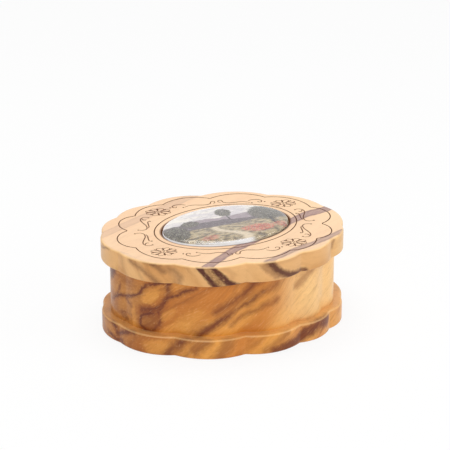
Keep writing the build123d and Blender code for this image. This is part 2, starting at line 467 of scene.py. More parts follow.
@dataclass(frozen=True)
class Stain:
    """A soft patch, in mm: its middle, its long way, and its reach along and across."""

    middle: Triple
    way: Triple
    reach: float
    width: float
    strength: float
    pale: bool = False


@dataclass(frozen=True)
class OliveWood:
    """Satin olive wood, as a solid pattern: growth layers, marbled veins, streaks and pores.

    Its layers are stacked along normal, and its fibres run along grain. Strengths go from 0 to
    1, and spans and heights are in mm of the box's own frame. A pace is how fast a pattern
    changes: of the layers along the fibres and beside them, and of the fibres along
    themselves, through the layers and beside them.
    """

    name: str
    normal: Triple
    grain: Triple
    pale: Colour
    warm: Colour
    deep: Colour
    vein: Colour
    heart: Colour
    rim: Colour
    sap: Colour
    seed: Triple
    wander: float
    line_strength: float
    halo_strength: float
    vein_strength: float
    fibre_strength: float
    sap_span: Point
    edge_top: float
    edge_radius: float
    # Strengths of the painted highlight: on the rounded outer edge, and on the level face beside
    # it.
    edge_highlight: float
    level_highlight: float = 0.0
    sap_floor: Point = UNDER
    # Painted shade that darkens the left end: where it starts and ends, and how strong it is.
    left_shade_span: Point = LEFT
    left_shade_strength: float = 0.0
    # The top's paler colour is partly the wood's own tone and partly painted light on the upward
    # face; the other two are the streaks' colours on the top.
    top: Colour = WHITE
    top_band: Colour = WHITE
    top_rim: Colour = WHITE
    top_span: Point = PAST
    top_strength: float = 0.6
    scorch_half: Point = (24.1, 16.65)
    scorch_strength: float = 0.0
    wax: float = 0.3
    gloss: float = 0.15
    sheen: float = 0.22
    roughness: float = 0.4
    pore_depth: float = 0.02
    layer_pace: Point = (0.16, 0.42)
    fibre_pace: Triple = (0.3, 2.4, 1.3)
    tones: Mottle = Mottle(0.11, 0.36, 0.66)
    ring_patches: Mottle = Mottle(0.2, 0.4, 0.7)
    branch_patches: Mottle = Mottle(0.05, 0.4, 0.62, 1.0)
    vein_wear: Mottle = Mottle(0.7, 0.15, 0.5, 3.0)
    rim_wear: Mottle = Mottle(0.8, 0.22, 0.46, 4.0, 0.6)
    speckle: Mottle = Mottle(2.2, 0.35, 0.6, 4.0, 0.7)
    pores: Mottle = Mottle(2.6, 0.62, 0.74)
    streaks: tuple[Streak, ...] = ()
    veins: tuple[Vein, ...] = ()
    stains: tuple[Stain, ...] = ()

    def _side(self) -> Triple:
        """Direction across the fibres within a growth layer."""
        return tuple(Vector(self.normal).cross(Vector(self.grain)).normalized())

    def _moved(self, paint: Paint, place: Signal) -> Signal:
        """Sway a place, so that straight layers come out wavy."""
        shifted = paint.vector("ADD", place, self.seed)
        slow = paint.sway(shifted, 2 * self.wander, 0.028, 1.5)
        quick = paint.sway(shifted, self.wander / 3, 0.14, 2.0)
        return paint.vector("ADD", paint.vector("ADD", place, slow), quick)

    def _layers(self, paint: Paint, moved: Signal) -> Signal:
        """Pattern coordinates: across the layers, and drawn out along the fibres."""
        stretched = paint.combine(paint.dot(moved, self.normal),
                                  paint.dot(moved, self.grain) * self.layer_pace[0],
                                  paint.dot(moved, self._side()) * self.layer_pace[1])
        return paint.vector("ADD", stretched, self.seed)

    @staticmethod
    def _ragged(paint: Paint, place: Signal) -> Signal:
        """Shift a place by fractions of a millimetre, so that drawn veins come out ragged."""
        bend = paint.sway(place, 2.4, 0.16, 1.0)
        fray = paint.sway(place, 1.5, 0.9, 3.0, 0.6)
        return paint.vector("ADD", paint.vector("ADD", place, bend), fray)

    @staticmethod
    def _streak_masks(paint: Paint, place: Signal, sway: Signal, worn: Signal,
                      streak: Streak) -> tuple[Signal, Signal, Signal, Signal]:
        """Masks of one streak's heart and rims, on the sides and then on the top."""
        right = paint.axis(place, "X")
        across = paint.dot(place, streak.normal) + sway - streak.offset
        gap = abs(across)
        for start, end, shift in streak.swings:
            across = across - paint.smooth(right, start, end) * shift
        top_gap = abs(across - streak.top_shift)
        kept = paint.smooth(right, streak.end + streak.fade, streak.end)
        heart = paint.smooth(gap, streak.half_width + 0.5, streak.half_width - 0.5) * kept
        rim = abs(gap - (streak.half_width - streak.rim_width / 2))
        edge = paint.smooth(rim, streak.rim_width * 0.75, streak.rim_width * 0.2)
        top_width = streak.top_half_width or streak.half_width
        return (heart, edge * worn * kept,
                paint.smooth(top_gap, top_width + 0.45, top_width - 0.35),
                paint.smooth(abs(top_gap - top_width + 0.2), 0.55, 0.1))

    @staticmethod
    def _vein_gap(paint: Paint, place: Signal, vein: Vein) -> Signal:
        """Distance from a place to the nearest stretch of a vein."""
        gap: Signal | None = None
        for start, end in zip(vein.points, vein.points[1:]):
            way = Vector(end) - Vector(start)
            arm = paint.vector("SUBTRACT", place, start)
            share = paint.dot(arm, tuple(way / way.length_squared))
            held = paint.node("ShaderNodeClamp", {}, {0: share, 1: 0.0, 2: 1.0})
            one = paint.vector("DISTANCE", arm, paint.scaled(tuple(way), held), output=1)
            gap = one if gap is None else paint.maths("MINIMUM", gap, one)
        return gap

    @staticmethod
    def _stain_mask(paint: Paint, place: Signal, layers: Signal, stain: Stain) -> Signal:
        """Mask of one soft patch, ragged along the layers."""
        arm = paint.vector("SUBTRACT", place, stain.middle)
        along = paint.dot(arm, tuple(Vector(stain.way).normalized()))
        square = paint.vector("LENGTH", arm, output=1) ** 2.0
        across = paint.maths("MAXIMUM", square - along * along, 0.0)
        reach = along * along * (1 / stain.reach ** 2) + across * (1 / stain.width ** 2)
        ragged = (paint.noise(layers, 0.55, 3.0, 0.6) - 0.5) * 1.6
        return paint.smooth(reach + ragged, 1.35, 0.35)

    def _painted_highlight(self, paint: Paint, place: Signal, height: Signal) -> Signal:
        """Mask of the painted highlight on the rounded outer edge and on the level face that it
        meets.

        Args:
            paint: The material in the making.
            place: Place on the piece. Only what lies outside the hollow counts.
            height: The place's height.

        Returns:
            The mask.
        """
        shares = (1 / OUTLINE_HALF[0], 1 / OUTLINE_HALF[1], 0.0)
        reach = paint.vector("LENGTH", paint.vector("MULTIPLY", place, shares), output=1)
        outside = paint.smooth(reach, 0.83, 0.87)
        rise = (height - self.edge_top) / self.edge_radius + 1.0
        rounded = paint.smooth(rise, 0.15, 0.5) * paint.smooth(rise, 0.98, 0.86)
        level = paint.smooth(rise, 0.94, 0.99) * paint.smooth(rise, 1.2, 1.02)
        return (rounded * self.edge_highlight + level * self.level_highlight) * outside

    def _scorched(self, paint: Paint, place: Signal) -> Signal:
        """Mask of the thin burnt edge round the oval recess."""
        arm = paint.vector("SUBTRACT", place, (*RECESS_MIDDLE, 0.0))
        right, up = (paint.dot(arm, axis) / half
                     for axis, half in zip(level_axes(RECESS_TURN), self.scorch_half))
        reach = paint.vector("LENGTH", paint.combine(right, up, 0.0), output=1)
        return paint.smooth(reach, 1.007, 0.993)

    def _ground(self, paint: Paint, moved: Signal, layers: Signal, height: Signal,
                tone: Signal) -> Signal:
        """Colour of sapwood and heartwood, with their growth rings and marbled figure, and painted
        shade at the left end.
        """
        sideways = paint.axis(moved, "X") + paint.axis(moved, "Y") * 0.3
        sapwood = paint.smooth(sideways, *self.sap_span)
        sapwood = sapwood * (paint.smooth(height, *self.sap_floor) * 0.8 + 0.2)
        # Painted shade: darker towards the left end, in the vein colour.
        dusk = paint.smooth(sideways, self.left_shade_span[1], self.left_shade_span[0])
        calm = 1.0 - sapwood * 0.75
        bend = paint.dot(moved, self.normal) * 0.9
        rings = paint.maths("SINE", (bend + paint.noise(layers, 0.3, 3.0) * 7.0) * 2.0)
        lines = paint.smooth(rings, 0.1, 1.0) * self.ring_patches.mask(paint, layers)
        figure = abs(paint.noise(layers, 0.075, 2.5, 0.45) - 0.5)
        halo = paint.smooth(figure, 0.085, 0.0) * calm
        core = paint.smooth(figure, 0.024, 0.002) * calm
        elsewhere = paint.vector("ADD", layers, (31.0, 7.0, 19.0))
        second = abs(paint.noise(elsewhere, 0.13) - 0.5)
        branch = paint.smooth(second, 0.03, 0.0) * self.branch_patches.mask(paint, layers) * calm
        return paint.layered(
            self.pale, (tone, self.warm), (sapwood * 0.85, self.sap),
            (dusk * self.left_shade_strength, self.vein), (lines * self.line_strength, self.deep),
            (halo * self.halo_strength, self.deep),
            (branch * (self.vein_strength * 0.6), self.vein),
            (core * self.vein_strength, self.vein))

    def _marked(self, paint: Paint, place: Signal, layers: Signal, colour: Signal) -> Signal:
        """Lay the wood's own stains, and then its own veins, over its ground colour."""
        near = self._ragged(paint, place)
        for stain in self.stains:
            mask = self._stain_mask(paint, near, layers, stain)
            tint = self.pale if stain.pale else self.rim
            colour = paint.blend(mask * stain.strength, colour, tint)
        worn = self.vein_wear.mask(paint, layers)
        for vein in self.veins:
            gap = self._vein_gap(paint, near, vein)
            halo = paint.smooth(gap, vein.halo_width, vein.half_width * 0.5)
            line = paint.smooth(gap, vein.half_width * 1.5, vein.half_width * 0.3) * worn
            colour = paint.layered(colour, (halo * vein.halo_strength, self.vein),
                                   (line * vein.strength, self.rim))
        return colour

    def _streaked(self, paint: Paint, place: Signal, layers: Signal, height: Signal,
                  colour: Signal) -> Signal:
        """Lay a paler colour over the top, partly its own tone and partly painted light on the
        upward face, and then the dark streaks.
        """
        upper = paint.smooth(height, *self.top_span)
        side = 1.0 - upper
        colour = paint.blend(upper * self.top_strength, colour, self.top)
        sway = (paint.noise(layers, 0.12) - 0.5) + (paint.noise(layers, 0.9, 4.0, 0.65) - 0.5) * 1.5
        worn = self.rim_wear.mask(paint, layers)
        speckle = self.speckle.mask(paint, layers)
        for streak in self.streaks:
            heart, rim, band, border = self._streak_masks(paint, place, sway, worn, streak)
            core = heart * side * (speckle * 0.6 + 0.4) * streak.heart_strength
            soft = band * upper * (speckle * 0.25 + 0.75) * streak.top_strength
            dusk = border * worn * upper * (streak.top_strength * 0.5)
            colour = paint.layered(colour, (core, self.heart),
                                   (rim * side * streak.rim_strength, self.rim),
                                   (soft, self.top_band), (dusk, self.top_rim))
        return colour

    def material(self) -> bpy.types.Material:
        """Build the wood's material."""
        paint = Paint(self.name)
        place = paint.place()
        height = paint.axis(place, "Z")
        moved = self._moved(paint, place)
        layers = self._layers(paint, moved)
        tone = self.tones.mask(paint, layers)
        colour = self._ground(paint, moved, layers, height, tone)
        colour = self._marked(paint, place, layers, colour)
        colour = self._streaked(paint, place, layers, height, colour)
        fibres = paint.combine(paint.dot(place, self.grain) * self.fibre_pace[0],
                               paint.dot(moved, self.normal) * self.fibre_pace[1],
                               paint.dot(moved, self._side()) * self.fibre_pace[2])
        threads = paint.noise(fibres, 0.8, 4.0, 0.65)
        pores = self.pores.mask(paint, fibres)
        colour = paint.layered(
            colour, (paint.smooth(threads, 0.5, 0.78) * self.fibre_strength, self.deep),
            (paint.smooth(threads, 0.48, 0.24) * (self.fibre_strength * 0.7), self.sap),
            (pores * self.fibre_strength, self.vein),
            # Painted highlight along the rounded outer edge and the ledge, in the sapwood colour.
            (self._painted_highlight(paint, place, height), self.sap),
            (self._scorched(paint, place) * self.scorch_strength, self.rim))
        roughness = self.roughness + pores * 0.14 + tone * 0.05
        relief = paint.relief(pores * -0.7 + threads * 0.4, self.pore_depth)
        return paint.finish({"Base Color": colour, "Roughness": roughness, "Normal": relief,
                             "Specular IOR Level": self.sheen, "Coat Weight": self.wax,
                             "Coat Roughness": self.gloss})


LID_LAYERS: Triple = (-0.495, 0.701, -0.514)

LID_WOOD = OliveWood(
    name="lid_olive_wood",
    normal=LID_LAYERS,
    grain=(0.784, 0.62, 0.0),
    pale=srgb(232, 181, 120),
    warm=srgb(214, 155, 90),
    deep=srgb(170, 112, 56),
    vein=srgb(136, 88, 50),
    heart=srgb(138, 98, 52),
    rim=srgb(80, 30, 12),
    sap=srgb(246, 204, 138),
    # The top's paler colour: partly the sanded wood's own tone, partly painted light on the upward
    # face.
    top=srgb(242, 208, 174),
    top_band=srgb(146, 115, 116),
    top_rim=srgb(104, 72, 72),
    top_span=(34.2, 34.7),
    top_strength=0.7,
    seed=(11.0, 4.0, 23.0),
    wander=3.5,
    line_strength=0.2,
    halo_strength=0.14,
    vein_strength=0.14,
    fibre_strength=0.16,
    scorch_strength=0.7,
    sap_span=(20.0, 44.0),
    edge_top=34.8,
    edge_radius=0.9,
    # Painted highlight on the lid's rounded top edge.
    edge_highlight=0.4,
    streaks=(
        Streak(LID_LAYERS, -32.9, 2.25, rim_width=1.6, rim_strength=1.0, heart_strength=0.9,
               top_half_width=1.5, top_shift=-0.4, top_strength=0.9, end=20.0,
               swings=((-14.0, 0.0, 2.0), (5.0, 27.0, 1.2), (29.0, 41.0, -2.2))),
        Streak((-0.493, 0.758, -0.426), -42.8, 1.0, top_strength=0.66,
               swings=((19.0, 29.0, -1.1),)),
        Streak(LID_LAYERS, 5.5, 1.6, top_strength=0.22),
    ),
    veins=veins(
        (1.5, 0.9, 2.6, 0.6, (8.8, -31.6, 34.6), (10.0, -31.7, 33.2), (11.7, -31.4, 31.2),
         (13.4, -31.0, 29.7), (15.9, -30.0, 27.9), (17.8, -29.0, 27.4), (19.8, -27.6, 27.4),
         (22.4, -26.7, 27.0)),
        (0.6, 0.1, 2.0, 0.5, (6.8, -31.8, 33.3), (8.7, -31.8, 31.0), (11.4, -31.5, 28.6)),
        (0.45, 0.35, 1.1, 0.4, (-43.3, 0.5, 32.5), (-41.3, -8.2, 34.5), (-36.8, -13.9, 34.6),
         (-35.3, -17.6, 34.6), (-31.3, -22.4, 34.4), (-27.0, -24.0, 34.0)),
        (0.5, 0.2, 2.0, 0.5, (-36.6, -17.2, 34.2), (-34.8, -19.5, 32.8), (-32.4, -21.6, 31.0),
         (-30.4, -23.0, 29.3), (-28.3, -24.0, 27.6)),
        (0.5, 0.15, 2.2, 0.45, (-24.5, -25.3, 33.4), (-22.7, -26.0, 31.9), (-21.7, -26.8, 30.3),
         (-22.0, -26.6, 28.0)),
        (0.7, 0.15, 2.0, 0.6, (-29.6, -23.4, 34.2), (-28.8, -23.8, 33.8), (-26.6, -24.7, 32.3)),
        (0.6, 0.1, 1.6, 0.45, (34.8, -17.6, 34.2), (34.2, -18.2, 31.6)),
    ),
    stains=(
        Stain((-42.0, -3.0, 31.0), (0.0, 1.0, 0.0), 11.0, 5.5, 0.85, pale=True),
    ),
)

BODY_WOOD = OliveWood(
    name="body_olive_wood",
    normal=(-0.65, -0.20, 0.735),
    grain=(0.745, 0.05, 0.665),
    pale=srgb(226, 156, 68),
    warm=srgb(200, 122, 44),
    deep=srgb(150, 82, 26),
    vein=srgb(126, 58, 16),
    heart=srgb(130, 84, 60),
    rim=srgb(94, 34, 12),
    sap=srgb(252, 208, 142),
    seed=(3.0, 17.0, 5.0),
    wander=4.0,
    sap_span=(-3.0, 19.0),
    sap_floor=(6.0, 9.0),
    # Painted shade on the box's left end.
    left_shade_span=(-44.0, -24.0),
    left_shade_strength=0.42,
    line_strength=0.35,
    halo_strength=0.28,
    vein_strength=0.26,
    fibre_strength=0.32,
    edge_top=7.3,
    edge_radius=0.8,
    # Painted highlight on the foot's rounded edge and on the ledge.
    edge_highlight=0.32,
    level_highlight=0.22,
    veins=veins(
        (0.55, 0.5, 2.6, 0.5, (12.3, -28.0, 24.6), (5.8, -28.6, 21.8), (1.6, -27.6, 18.3),
         (-0.6, -27.7, 17.0), (-5.4, -28.8, 14.5), (-9.5, -28.7, 11.7), (-14.9, -27.3, 8.1),
         (-18.6, -28.6, 7.2), (-21.6, -26.9, 5.3), (-25.9, -25.0, 0.6)),
        (1.2, 0.35, 3.6, 0.35, (-5.4, -28.8, 14.5), (-9.5, -28.7, 11.7), (-14.9, -27.3, 8.1),
         (-18.6, -28.6, 7.2), (-21.6, -26.9, 5.3), (-25.9, -25.0, 0.6)),
        (0.6, 0.35, 2.8, 0.6, (7.4, -28.6, 27.0), (4.0, -28.2, 25.2), (2.5, -27.8, 23.5),
         (0.7, -27.5, 21.5), (-1.7, -28.0, 20.3), (-5.1, -28.7, 18.9), (-8.9, -28.8, 17.0)),
        (0.4, 0.2, 2.2, 0.5, (12.4, -28.0, 19.1), (5.8, -28.6, 16.6), (0.4, -27.5, 13.3),
         (-3.7, -28.0, 11.1)),
        (0.5, 0.1, 2.6, 0.5, (27.0, -22.2, 25.6), (22.4, -23.2, 22.3), (20.0, -23.7, 21.1)),
        (0.55, 0.8, 1.7, 0.55, (-40.0, -1.9, 13.0), (-38.6, -6.9, 16.3), (-36.8, -9.8, 17.1),
         (-34.8, -14.3, 19.3), (-33.4, -16.3, 20.6), (-32.5, -17.4, 22.9), (-30.7, -19.0, 24.9),
         (-28.2, -20.7, 25.5), (-24.2, -22.2, 25.6)),
        (0.35, 0.5, 1.2, 0.4, (-38.1, -7.8, 20.5), (-38.8, -6.5, 17.4), (-39.0, -6.1, 16.0)),
        (0.35, 0.35, 1.6, 0.4, (-36.8, -9.8, 17.1), (-36.2, -11.1, 15.8), (-35.5, -13.0, 14.6)),
        (0.6, 0.55, 1.8, 0.6, (-24.2, -22.2, 26.6), (-24.1, -22.2, 22.6), (-24.8, -22.0, 19.8),
         (-26.4, -21.5, 17.8), (-28.3, -20.6, 16.4), (-32.8, -17.0, 14.9)),
        (0.55, 0.75, 2.0, 0.6, (-15.2, -27.2, 25.5), (-20.3, -24.0, 23.3), (-24.0, -22.3, 20.1),
         (-25.6, -21.8, 17.6), (-27.5, -21.0, 14.9), (-29.9, -19.6, 14.1), (-32.2, -17.6, 13.5),
         (-33.1, -16.7, 11.3), (-32.9, -16.9, 9.2), (-31.6, -18.1, 7.9)),
        (0.45, 0.6, 1.8, 0.55, (-31.6, -18.1, 7.9), (-30.0, -19.4, 7.9), (-28.4, -20.6, 8.8),
         (-27.2, -21.2, 10.5), (-27.1, -21.2, 12.7), (-27.8, -20.9, 14.6)),
        (0.7, 0.2, 3.2, 0.6, (-12.8, -31.4, 7.0), (-14.9, -30.7, 5.1), (-16.9, -29.6, 2.4)),
        (0.8, 0.0, 4.0, 0.6, (-5.0, -32.0, 7.0), (-9.0, -32.0, 0.5)),
        (1.7, 0.6, 3.0, 0.75, (32.4, -21.4, 5.5), (28.5, -24.4, 5.8), (23.1, -26.3, 4.2),
         (20.7, -27.0, 2.2), (16.3, -29.8, 1.8), (11.4, -31.4, 0.8)),
        (2.0, 0.4, 3.2, 0.5, (31.4, -22.2, 5.0), (27.0, -25.2, 4.2), (23.1, -26.3, 3.2)),
        (0.6, 0.05, 3.0, 0.5, (15.1, -30.4, 5.9), (12.3, -31.3, 4.4), (8.0, -31.8, 0.8)),
        (0.8, 0.75, 2.2, 0.6, (-41.1, -8.4, 7.2), (-40.4, -10.0, 6.1), (-39.9, -10.8, 4.2),
         (-37.6, -15.6, 5.9), (-36.0, -18.0, 6.6)),
        (0.7, 0.7, 1.8, 0.55, (-42.6, -6.6, 2.6), (-41.5, -7.9, 2.4), (-40.1, -10.4, 1.6),
         (-38.9, -13.0, 2.2), (-38.4, -14.2, 0.4)),
    ),
    stains=(
        Stain((-29.8, -19.7, 20.6), (4.1, -2.8, 4.0), 4.6, 2.4, 0.8, pale=True),
        Stain((-34.9, -14.0, 11.4), (0.0, 0.0, 1.0), 4.6, 1.3, 0.5, pale=True),
        Stain((-29.0, -23.6, 3.6), (0.8, -0.5, 0.0), 5.0, 3.0, 0.6, pale=True),
        Stain((-19.0, -25.6, 13.0), (0.8, -0.3, 0.5), 7.5, 2.6, 0.5, pale=True),
        Stain((-21.6, -23.6, 9.4), (0.9, -0.4, 0.3), 6.5, 2.2, 0.7, pale=True),
        Stain((-24.3, -22.2, 14.1), (0.8, -0.3, 0.5), 3.5, 1.6, 0.4, pale=True),
        Stain((-30.1, -19.4, 11.2), (1.0, 0.0, 0.0), 3.4, 3.2, 0.35),
        Stain((-37.2, -9.3, 9.6), (0.4, -0.5, -0.5), 2.6, 1.5, 0.4),
        Stain((-29.2, -20.0, 15.4), (0.8, -0.5, 0.3), 3.2, 1.2, 0.45),
        Stain((-40.0, -2.6, 24.0), (0.1, -0.5, 0.8), 4.4, 2.4, 0.85),
    ),
)


# ---- other finishes ----

@dataclass(frozen=True)
class BurntLine:
    """Charred floor and walls of the engraved lines."""

    name: str = "burnt_line"
    char: Colour = srgb(78, 48, 32)
    scorch: Colour = srgb(124, 82, 52)
    crumb_depth: float = 0.02

    def material(self) -> bpy.types.Material:
        """Build the burnt wood's material."""
        paint = Paint(self.name)
        speckle = paint.noise(paint.place(), 3.5, 3.0, 0.6)
        mask = paint.smooth(speckle, 0.35, 0.7)
        colour = paint.blend(mask, self.char, self.scorch)
        relief = paint.relief(speckle, self.crumb_depth)
        return paint.finish({"Base Color": colour, "Roughness": mask * 0.15 + 0.7,
                             "Normal": relief, "Specular IOR Level": 0.2})


@dataclass(frozen=True)
class Metal:
    """A worn metal, drawn or rubbed along one direction."""

    name: str
    bright: Colour
    dull: Colour
    along: Triple = (1.0, 0.0, 0.0)
    roughness: float = 0.3
    line_depth: float = 0.004
    line_stretch: float = 0.93
    tarnish: float = 0.5
    bloom: Mottle = Mottle(0.45, 0.4, 0.72, 4.0, 0.6)

    def material(self) -> bpy.types.Material:
        """Build the metal's material."""
        paint = Paint(self.name)
        place = paint.place()
        length = paint.scaled(paint.vector("MULTIPLY", place, self.along), -self.line_stretch)
        lines = paint.noise(paint.vector("ADD", place, length), 9.0, 3.0, 0.6)
        bloom = self.bloom.mask(paint, place)
        colour = paint.blend(bloom * self.tarnish, self.bright, self.dull)
        roughness = bloom * 0.16 + lines * 0.1 + self.roughness
        return paint.finish({"Base Color": colour, "Metallic": 1.0, "Roughness": roughness,
                             "Normal": paint.relief(lines, self.line_depth)})


BRASS = Metal("rubbed_brass", srgb(214, 178, 104), srgb(150, 112, 60))
PIN_STEEL = Metal("drawn_steel", srgb(200, 200, 202), srgb(138, 136, 134), roughness=0.24)
NICKEL = Metal("nickel_plating", srgb(214, 212, 206), srgb(170, 166, 158), (0.0, 0.0, 0.0), 0.14)


@dataclass(frozen=True)
class ClearResin:
    """Poured clear resin, very slightly uneven, with a few fine rubs."""

    name: str = "clear_resin"
    tint: Colour = srgb(251, 252, 250)
    refraction: float = 1.5
    swell_depth: float = 0.05
    rubs: Mottle = Mottle(1.4, 0.6, 0.8, 4.0, 0.65, (0.4, 2.6, 1.0))

    def material(self) -> bpy.types.Material:
        """Build the resin's material, which lets light through to the print under it."""
        paint = Paint(self.name)
        place = paint.place()
        roughness = self.rubs.mask(paint, place) * 0.05 + 0.015
        relief = paint.relief(paint.noise(place, 0.12, 1.0), self.swell_depth)
        glass = paint.node("ShaderNodeBsdfPrincipled", {}, {
            "Base Color": self.tint, "Roughness": roughness, "IOR": self.refraction,
            "Transmission Weight": 1.0, "Normal": relief})
        clear = paint.node("ShaderNodeBsdfTransparent")
        shadow = paint.node("ShaderNodeLightPath", output="Is Shadow Ray")
        return paint.close(paint.node("ShaderNodeMixShader", {}, {0: shadow, 1: glass, 2: clear}))


def oval(along: Signal, across: Signal, middle: Point, half: Point) -> Signal:
    """Square of the distance from a middle, with an oval's half length and width as ones."""
    right = (along - middle[0]) / half[0]
    up = (across - middle[1]) / half[1]
    return right * right + up * up


@dataclass(frozen=True)
class Clump:
    """A ragged round clump in the print: its middle, its reach, and its strongest colour."""

    middle: Point
    reach: Point
    strength: float = 1.0

    def mask(self, paint: Paint, along: Signal, across: Signal, ragged: Signal) -> Signal:
        """The clump's mask, with its edge shifted by ragged."""
        return paint.smooth(oval(along, across, self.middle, self.reach) + ragged, 1.15, 0.75)


@dataclass(frozen=True)
class PrintedView:
    """A printed countryside: sky, two ridges, a meadow with a lane, trees and blossoms.

    Places are in mm on the plaque: along its longer axis, and across towards the hinge. The
    pale rim is partly bare paper and partly a painted reflection of the white surroundings in
    the cap's edge; it is widest at the front, and the print runs out over it past rim_end.
    """

    name: str = "printed_view"
    half_length: float = 23.0
    half_width: float = 15.55
    margin: Point = (0.9, 1.25)
    shift: Point = (0.1, 1.1)
    rim_end: Point = (2.5, 6.0)
    paper: Colour = srgb(198, 196, 198)
    sky: Colour = srgb(186, 180, 184)
    cloud: Colour = srgb(212, 206, 196)
    far_ridge: Colour = srgb(140, 127, 133)
    near_ridge: Colour = srgb(90, 80, 86)
    meadow: Colour = srgb(166, 150, 120)
    grass: Colour = srgb(96, 86, 74)
    lane: Colour = srgb(198, 184, 162)
    leaves: Colour = srgb(50, 46, 48)
    light_leaves: Colour = srgb(112, 106, 92)
    blossom: Colour = srgb(190, 72, 66)
    bark: Colour = srgb(46, 40, 42)
    drift: Mottle = Mottle(0.25, 0.4, 0.65, 4.0, 0.6, (0.35, 1.3, 1.0))
    tufts: Mottle = Mottle(0.55, 0.42, 0.62, 4.0, 0.65, (0.6, 1.6, 1.0))
    flecks: Mottle = Mottle(1.9, 0.42, 0.6, 3.0, 0.6)
    petals: Mottle = Mottle(2.3, 0.45, 0.56)
    crowns: tuple[Clump, ...] = (Clump((16.5, 3.5), (6.0, 6.5)), Clump((-19.0, -1.5), (4.5, 5.5)),
                                 Clump((2.5, 8.5), (3.0, 3.4)), Clump((-12.0, 3.5), (3.4, 2.4)))
    trunks: tuple[Clump, ...] = (Clump((16.3, -3.0), (0.6, 3.4)), Clump((2.6, 3.8), (0.35, 2.2)))
    blossoms: tuple[Clump, ...] = (Clump((9.0, -7.5), (6.2, 2.6), 0.95),
                                   Clump((-9.5, -9.0), (3.4, 1.5), 0.7),
                                   Clump((18.0, -6.5), (2.6, 1.6), 0.75))

    def _land(self, paint: Paint, along: Signal, across: Signal, spot: Signal) -> Signal:
        """Colour of sky, ridges, meadow and lane."""
        def skyline(seed: float, scale: float, detail: float, height: float) -> Signal:
            """Height of a wavy line across the print."""
            return paint.noise(paint.combine(along, seed, 0.0), scale, detail) * height

        crest = skyline(3.0, 0.09, 3.0, 9.0) + along * 0.1
        brow = skyline(40.0, 0.12, 4.0, 6.0) - along * 0.09
        field = paint.smooth(across - skyline(80.0, 0.07, 3.0, 3.0), -2.6, -3.4)
        grown = paint.blend(self.tufts.mask(paint, spot), self.meadow, self.grass)
        bend = paint.maths("SINE", across * 0.42) * 3.2 - across * 0.25 - 3.0
        verge = paint.noise(spot, 0.8) * 0.8
        lane = paint.smooth(abs(along - bend) + verge, 2.1 - across * 0.12, 0.8)
        return paint.layered(
            self.sky, (self.drift.mask(paint, spot), self.cloud),
            (paint.smooth(across - crest, 1.2, 0.7), self.far_ridge),
            (paint.smooth(across - brow, -0.4, -0.9), self.near_ridge),
            (field, grown), (lane * field * 0.9, self.lane))

    def _rim(self, paint: Paint, along: Signal, across: Signal) -> Signal:
        """Mask of the pale rim round the print: partly bare paper, partly a painted reflection."""
        half = (self.half_length - self.margin[0], self.half_width - self.margin[1])
        rim = paint.smooth(oval(along, across, self.shift, half), 0.98, 1.01)
        return rim * paint.smooth(along, self.rim_end[1], self.rim_end[0])

    def material(self) -> bpy.types.Material:
        """Build the print's material."""
        paint = Paint(self.name)
        arm = paint.vector("SUBTRACT", paint.place(), (*RECESS_MIDDLE, 0.0))
        along, across = (paint.dot(arm, axis) for axis in level_axes(RECESS_TURN))
        spot = paint.combine(along, across, 0.0)
        colour = self._land(paint, along, across, spot)
        ragged = (paint.noise(spot, 0.7, 4.0, 0.7) - 0.5) * 1.5
        leafy = paint.blend(self.flecks.mask(paint, spot), self.leaves, self.light_leaves)
        petals = self.petals.mask(paint, spot)
        for crown in self.crowns:
            colour = paint.blend(crown.mask(paint, along, across, ragged), colour, leafy)
        for trunk in self.trunks:
            colour = paint.blend(trunk.mask(paint, along, across, ragged * 0.3), colour, self.bark)
        for patch in self.blossoms:
            mask = patch.mask(paint, along, across, ragged) * petals * patch.strength
            colour = paint.blend(mask, colour, self.blossom)
        strokes = paint.noise(spot, 0.8, 5.0, 0.7, (0.7, 2.0, 1.0))
        colour = paint.layered(colour, (paint.smooth(strokes, 0.52, 0.68) * 0.55, self.bark),
                               (paint.smooth(strokes, 0.46, 0.32) * 0.5, self.paper),
                               # The pale rim: partly bare paper, partly a painted reflection in the
                               # cap's front edge.
                               (self._rim(paint, along, across), self.paper))
        return paint.finish({"Base Color": colour, "Roughness": strokes * 0.1 + 0.45,
                             "Normal": paint.relief(strokes, 0.01)})


# ---- pieces ----

def mesh_object(name: str, mesh: bpy.types.Mesh) -> bpy.types.Object:
    """Put a mesh into the scene under one name for both."""
    mesh.name = name
    return placed(name, mesh)


def node_copy(node: str, weld: float = 1e-7) -> bmesh.types.BMesh:
    """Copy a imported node's mesh, with its loose triangles joined up.

    Args:
        node: The node's name.
        weld: Corners nearer than this, in metres, become one.

    Returns:
        The joined mesh.
    """
    grown = bmesh.new()
    grown.from_mesh(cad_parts[node].data)
    bmesh.ops.remove_doubles(grown, verts=grown.verts, dist=weld)
    bmesh.ops.recalc_face_normals(grown, faces=grown.faces)
    return grown


def plain_mesh(source: bmesh.types.BMesh, name: str) -> bpy.types.Mesh:
    """Write a mesh in the making into a plain one, and let the first go."""
    mesh = bpy.data.meshes.new(name)
    source.to_mesh(mesh)
    source.free()
    return mesh


@dataclass(frozen=True)
class Scroll:
    """One engraved scroll, drawn for the back right quarter of the ornament, in mm.

    The hand that drew it set the left one a little apart from a true mirror image.
    """

    lines: tuple[tuple[Point, ...], ...]
    dots: tuple[Point, ...]
    right_shift: Point = (0.0, 0.0)
    left_shift: Point = (0.0, 0.0)

    def placed(self, mirrored: bool) -> tuple[list[list[Point]], list[Point]]:
        """Lines and dots in the back right place, or mirrored to the back left.

        Args:
            mirrored: Whether the left one is wanted.

        Returns:
            The lines and the dots.
        """
        shift = self.left_shift if mirrored else self.right_shift
        side = -1.0 if mirrored else 1.0

        def moved(points: tuple[Point, ...]) -> list[Point]:
            """Shift points, and then mirror them where that is wanted."""
            return [(side * (x + shift[0]), y + shift[1]) for x, y in points]
        return [moved(line) for line in self.lines], moved(self.dots)


